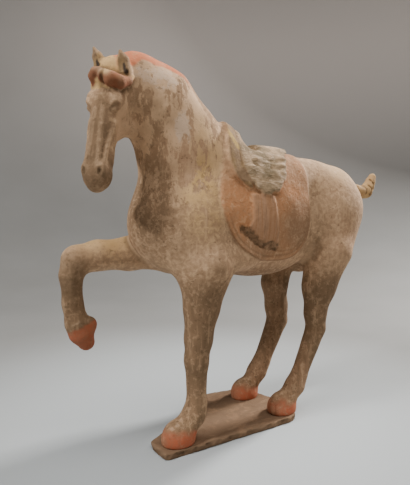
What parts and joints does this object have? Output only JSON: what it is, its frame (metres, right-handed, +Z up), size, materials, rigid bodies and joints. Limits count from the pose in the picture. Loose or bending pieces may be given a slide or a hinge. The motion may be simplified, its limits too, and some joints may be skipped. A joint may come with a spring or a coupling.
{
  "type": "horse figurine",
  "caption": "Fired-clay prancing horse with a saddle and saddle cloth, one foreleg raised, head turned aside, short upturned tail, standing on a thin wedge-shaped clay slab",
  "frame": {"origin": "on the flat underside of the slab, below the middle plane of the horse", "axes": "+Z up; the horse faces -X; its left side, the one with the standing foreleg, is towards -Y"},
  "size_m": [0.617, 0.1672, 0.5575],
  "materials": {
    "bare_clay": "matt unglazed clay with earth stains",
    "painted_clay": "matt fired clay with worn pale slip and traces of orange, red and grey-green pigment",
    "tail_clay": "matt buff clay"
  },
  "bodies": {
    "root": {"base_slab": "bare_clay", "horse": "painted_clay", "tail": "tail_clay"}
  },
  "joints": []
}
